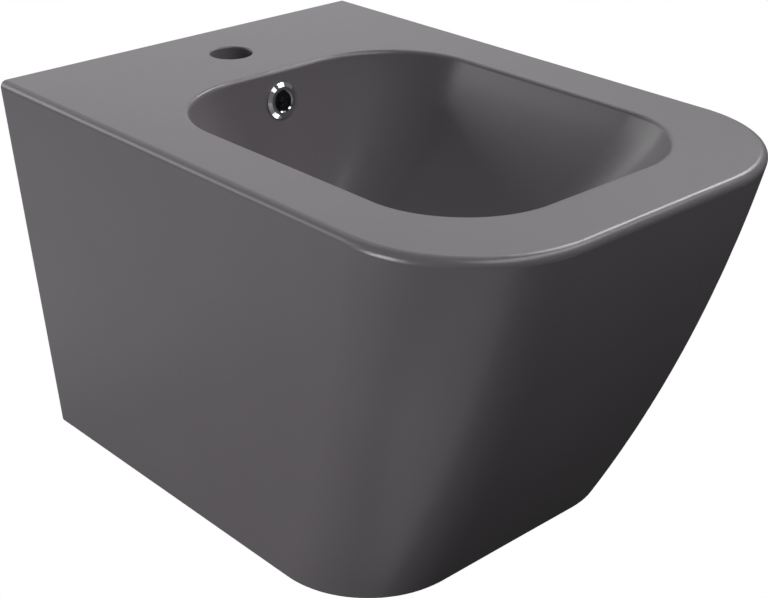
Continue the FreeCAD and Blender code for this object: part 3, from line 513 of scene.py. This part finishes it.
# %% [markdown]
# ## Plastics and rubber
# The trap is moulded in white polypropylene: a soft gloss, a slightly milky body and the fine grain of the
# mould. Subsurface scattering gives the milkiness. The click cartridge and the clip are grey acetal. Seals
# are black rubber, dull and finely pitted.

# %% Mix the plastics and the rubber


def moulded(name, dark, light, gloss, milk):
    """A moulded plastic with a tone between two colours and the fine grain of its mould."""
    finish, tree, shader, place = new_finish(name, Subsurface_Weight=milk, Subsurface_Scale=0.002)
    clouds = between(tree, noise(tree, place, 35, 3), 0, 1)
    tint(tree, shader, clouds, dark, light)
    grain = noise(tree, place, 1800, 2)
    polish(tree, shader, grain, gloss, gloss + 0.12)
    bump(tree, shader, grain, 0.00002, 0.6)
    return finish


white_plastic = moulded("white_polypropylene", (0.77, 0.77, 0.75), (0.82, 0.82, 0.80), 0.32, 0.12)
grey_plastic = moulded("grey_acetal", (0.28, 0.29, 0.30), (0.34, 0.35, 0.36), 0.38, 0.0)

rubber, tree, shader, place = new_finish("black_rubber", Specular_IOR_Level=0.35)
pits = noise(tree, place, 1500, 3, 0.6)
tint(tree, shader, pits, (0.018, 0.018, 0.019), (0.045, 0.045, 0.047))
polish(tree, shader, pits, 0.62, 0.85)
bump(tree, shader, pits, 0.00006, 0.6)

FINISH_OF_SLOT = {
    "ceramic": glaze, "chrome": chrome, "brass": brass, "rubber": rubber, "white_plastic": white_plastic,
    "grey_plastic": grey_plastic, "steel": zinc, "spring_steel": wire}
for part in frame["record"]["subparts"]:
    node = nodes[part["node"]]
    node.data.materials.clear()
    node.data.materials.append(FINISH_OF_SLOT[part["material_slot"]])
print("finishes on", len(nodes), "nodes")

# %% [markdown]
# ## Grip ribs
# The union nuts and the cup of the trap are tightened by hand, so their outsides carry ribs. One rib is a
# bevelled block, sunk a little into the wall that carries it. Spin copies it round the axis. The block is
# modelled upright at the world's origin and moved to its place at the end.

# %% Model the grip ribs
RIB_SINK = 0.0006
# Size of the bevel as a share of the rib's smaller side
RIB_BEVEL = 0.45
# Number of ribs, width and height of one, on the nuts and on the cup
NUT_RIBS = (24, 0.0022, 0.0012)
CUP_RIBS = (28, 0.0024, 0.0013)
# Room kept at both ends of a nut, and the heights on the cup between which its ribs run
NUT_END = 0.0022
CUP_RIBS_LOW, CUP_RIBS_HIGH = 0.0065, 0.030


def grip_ribs(name, ride_on, spot, axis, radius, low, high, count, width, height):
    """Ribs round an axis through a spot, from one length along it to another."""
    bpy.ops.object.select_all(action="DESELECT")
    bpy.ops.mesh.primitive_cube_add(size=1, location=(0, 0, 0))
    ribs = bpy.context.object
    ribs.name = ribs.data.name = name
    depth = height + RIB_SINK
    ribs.scale = (depth, width, high - low)
    ribs.location = (radius - RIB_SINK + depth / 2, 0, (low + high) / 2)
    bpy.ops.object.transform_apply(location=True, rotation=True, scale=True)
    for edge in ribs.data.edges:
        ends = [ribs.data.vertices[v].co for v in edge.vertices]
        edge.select = all(end.x > radius for end in ends)
    for face in ribs.data.polygons:
        face.select = False
    bpy.ops.object.mode_set(mode="EDIT")
    bpy.ops.mesh.select_mode(type="EDGE")
    bpy.ops.mesh.bevel(offset=min(width, height) * RIB_BEVEL, segments=3, affect="EDGES")
    bpy.ops.mesh.select_mode(type="FACE")
    bpy.ops.mesh.select_all(action="SELECT")
    bpy.ops.mesh.spin(steps=count, dupli=True, angle=2 * math.pi, center=(0, 0, 0), axis=(0, 0, 1))
    bpy.ops.mesh.select_all(action="SELECT")
    bpy.ops.mesh.remove_doubles(threshold=0.00001)
    bpy.ops.mesh.normals_make_consistent(inside=False)
    bpy.ops.object.mode_set(mode="OBJECT")
    bpy.ops.object.shade_smooth_by_angle(angle=math.radians(40))
    ribs.rotation_euler = Vector(axis).to_track_quat("Z", "Y").to_euler()
    ribs.location = spot
    bpy.ops.object.transform_apply(location=True, rotation=True, scale=False)
    ribs.data.materials.append(white_plastic)
    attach(ribs, ride_on)
    print(name, len(ribs.data.polygons), "faces")


def nut_ribs(name, node, axis):
    """Ribs on a union nut, clear of its bevelled end and of its rim."""
    low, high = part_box(node)
    middle = (low + high) / 2
    size = high - low
    length = abs(Vector(axis).dot(size))
    half = length / 2 - NUT_END
    grip_ribs(name, "bidet", middle, axis, size.x / 2, -half, half, *NUT_RIBS)


nut_ribs("union_nut_grip", "trap_union_nut", (0, 0, 1))
nut_ribs("neck_nut_grip", "trap_neck_nut", (0, 0, 1))
nut_ribs("outlet_nut_grip", "trap_outlet_nut", (0, 1, 0))
low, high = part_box("trap_cup")
cup_foot = Vector((DRAIN.x, DRAIN.y, low.z))
cup_radius = (high.x - low.x) / 2
grip_ribs("cup_grip", "cup", cup_foot, (0, 0, 1), cup_radius, CUP_RIBS_LOW, CUP_RIBS_HIGH, *CUP_RIBS)

# %% [markdown]
# ## Click spring
# The spring under the plug is a helix of round wire, whose lower end stands on the cartridge. The Screw
# modifier turns a small ring of points round the axis while it climbs. The two ends are then closed.

# %% Model the click spring
SPRING_TURNS = 6
WIRE_RADIUS = 0.0006
# Points round the wire and steps in one turn of the helix
WIRE_POINTS = 10
TURN_STEPS = 28

low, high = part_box("plug_spring")
coil_radius = (high.x - low.x) / 2 - WIRE_RADIUS
rise = high.z - low.z - 2 * WIRE_RADIUS
bpy.ops.object.select_all(action="DESELECT")
bpy.ops.mesh.primitive_circle_add(vertices=WIRE_POINTS, radius=WIRE_RADIUS, location=(0, 0, 0))
spring = bpy.context.object
spring.name = spring.data.name = "click_spring"
bpy.ops.object.mode_set(mode="EDIT")
bpy.ops.mesh.select_all(action="SELECT")
bpy.ops.transform.rotate(value=math.pi / 2, orient_axis="X", center_override=(0, 0, 0))
bpy.ops.transform.translate(value=(coil_radius, 0, 0))
bpy.ops.object.mode_set(mode="OBJECT")
screw = spring.modifiers.new("coil", "SCREW")
screw.angle = 2 * math.pi
screw.screw_offset = rise / SPRING_TURNS
screw.iterations = SPRING_TURNS
screw.steps = screw.render_steps = TURN_STEPS
screw.use_merge_vertices = False
bpy.ops.object.modifier_apply(modifier=screw.name)
bpy.ops.object.mode_set(mode="EDIT")
bpy.ops.mesh.select_all(action="DESELECT")
bpy.ops.mesh.select_mode(type="EDGE")
bpy.ops.mesh.select_non_manifold()
bpy.ops.mesh.edge_face_add()
bpy.ops.mesh.select_all(action="SELECT")
bpy.ops.mesh.normals_make_consistent(inside=False)
bpy.ops.object.mode_set(mode="OBJECT")
bpy.ops.object.shade_smooth_by_angle(angle=math.radians(50))
spring.location = (DRAIN.x, DRAIN.y, low.z + WIRE_RADIUS)
bpy.ops.object.transform_apply(location=True, rotation=True, scale=True)
spring.data.materials.append(wire)
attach(spring, "bidet")
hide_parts("plug_spring")
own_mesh(spring)
print("spring", [round(v * 1000, 1) for v in spring.dimensions], "mm,", len(spring.data.polygons), "faces")
